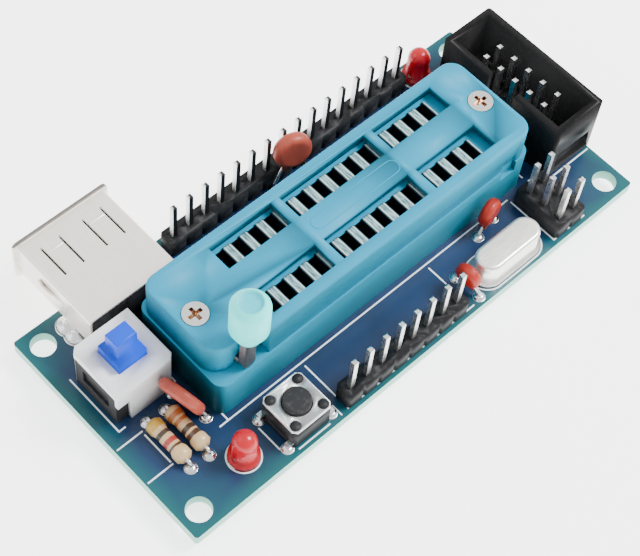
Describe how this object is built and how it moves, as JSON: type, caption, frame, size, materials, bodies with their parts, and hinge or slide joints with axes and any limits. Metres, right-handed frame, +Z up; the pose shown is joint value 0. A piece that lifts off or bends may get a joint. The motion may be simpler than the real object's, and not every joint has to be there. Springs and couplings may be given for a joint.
{
  "type": "microcontroller programmer board",
  "caption": "USB programmer board: lever-operated DIP test socket, USB receptacle, latching power switch, reset key, pin headers, shrouded box header and crystal on a drilled blue board.",
  "frame": {"origin": "centre of the four board holes, on the underside of the circuit board", "axes": "+Z up from the board's component side, +X along the board from the USB and switch end to the box header end, +Y the way the USB mouth faces"},
  "size_m": [0.0748, 0.0399, 0.0237],
  "materials": {
    "board_laminate": "glass-fibre laminate under a glossy dark blue solder mask, paler at the edges",
    "header_plastic": "black moulded plastic, slightly rough",
    "pin_metal": "tin-plated brass pins, bright",
    "socket_plastic": "sky-blue glass-filled plastic, satin",
    "contact_metal": "plated spring bronze, bright edges",
    "lever_steel": "grey stamped steel",
    "knob_plastic": "pale aqua moulded knob, soft gloss",
    "screw_steel": "bright plated cross-head screws",
    "usb_steel": "bright tin-plated steel sheet",
    "insulator_plastic": "black moulded plastic",
    "switch_white": "white moulded plastic",
    "plunger_blue": "bright blue moulded plastic",
    "reset_plate": "plain pressed steel plate, satin",
    "resistor_coat": "tan lacquer with colour rings",
    "lamp_epoxy": "clear red cast epoxy",
    "crystal_steel": "satin nickel-plated can",
    "disc_brown": "terracotta dipped ceramic, soft gloss",
    "disc_orange": "orange-red dipped ceramic, soft gloss",
    "solder": "bright solder fillets",
    "wire_tin": "tinned wire"
  },
  "bodies": {
    "board": {"back_header_pins": "pin_metal", "back_header_strip": "header_plastic", "back_lamp_leads": "wire_tin", "back_lamp_lens": "lamp_epoxy", "box_header_pins": "pin_metal", "box_header_shroud": "header_plastic", "circuit_board": "board_laminate", "cover_screws": "screw_steel", "crystal_base": "insulator_plastic", "crystal_can": "crystal_steel", "crystal_leads": "wire_tin", "crystal_left_capacitor": "disc_orange", "crystal_left_capacitor_leads": "wire_tin", "crystal_right_capacitor": "disc_orange", "crystal_right_capacitor_leads": "wire_tin", "front_header_pins": "pin_metal", "front_header_strip": "header_plastic", "front_lamp_leads": "wire_tin", "front_lamp_lens": "lamp_epoxy", "header_solder_joints": "solder", "left_resistor": "resistor_coat", "left_resistor_leads": "wire_tin", "power_capacitor": "disc_brown", "power_capacitor_leads": "wire_tin", "reset_base": "insulator_plastic", "reset_cover": "reset_plate", "reset_dome": "contact_metal", "reset_terminals": "contact_metal", "right_resistor": "resistor_coat", "right_resistor_leads": "wire_tin", "six_pin_header_pins": "pin_metal", "six_pin_header_strip": "header_plastic", "socket_base": "socket_plastic", "socket_capacitor": "disc_brown", "socket_capacitor_leads": "wire_tin", "socket_contacts": "contact_metal", "socket_cover": "socket_plastic", "socket_solder_joints": "solder", "switch_base": "insulator_plastic", "switch_housing": "switch_white", "switch_spring": "contact_metal", "switch_terminals": "contact_metal", "terminal_solder_joints": "solder", "usb_contacts": "contact_metal", "usb_insulator": "insulator_plastic", "usb_shell": "usb_steel", "wire_solder_joints": "solder"},
    "lever": {"socket_lever": "lever_steel", "lever_knob": "knob_plastic"},
    "slider": {"socket_slider": "socket_plastic"},
    "plunger": {"switch_plunger": "plunger_blue"},
    "button": {"reset_button": "insulator_plastic"}
  },
  "joints": [
    {"name": "lever_hinge", "type": "hinge", "parent": "board", "child": "lever", "pos_m": [-0.0208, -0.00625, 0.0093], "axis": [0, -1, 0], "range_deg": [0, 76]},
    {"name": "slider_slide", "type": "slide", "parent": "board", "child": "slider", "axis": [1, 0, 0], "range_m": [0, 0.0008]},
    {"name": "power_press", "type": "slide", "parent": "board", "child": "plunger", "axis": [0, 0, -1], "range_m": [0, 0.0018], "stiffness_N_per_m": 500, "springref_m": -0.001, "deforming": ["switch_spring"]},
    {"name": "reset_press", "type": "slide", "parent": "board", "child": "button", "axis": [0, 0, -1], "range_m": [0, 0.00025], "stiffness_N_per_m": 2000, "springref_m": -0.0003}
  ],
  "couplings": [
    {"joint": "lever_hinge", "follows": "slider_slide", "rad_per_m": 1658.1}
  ]
}
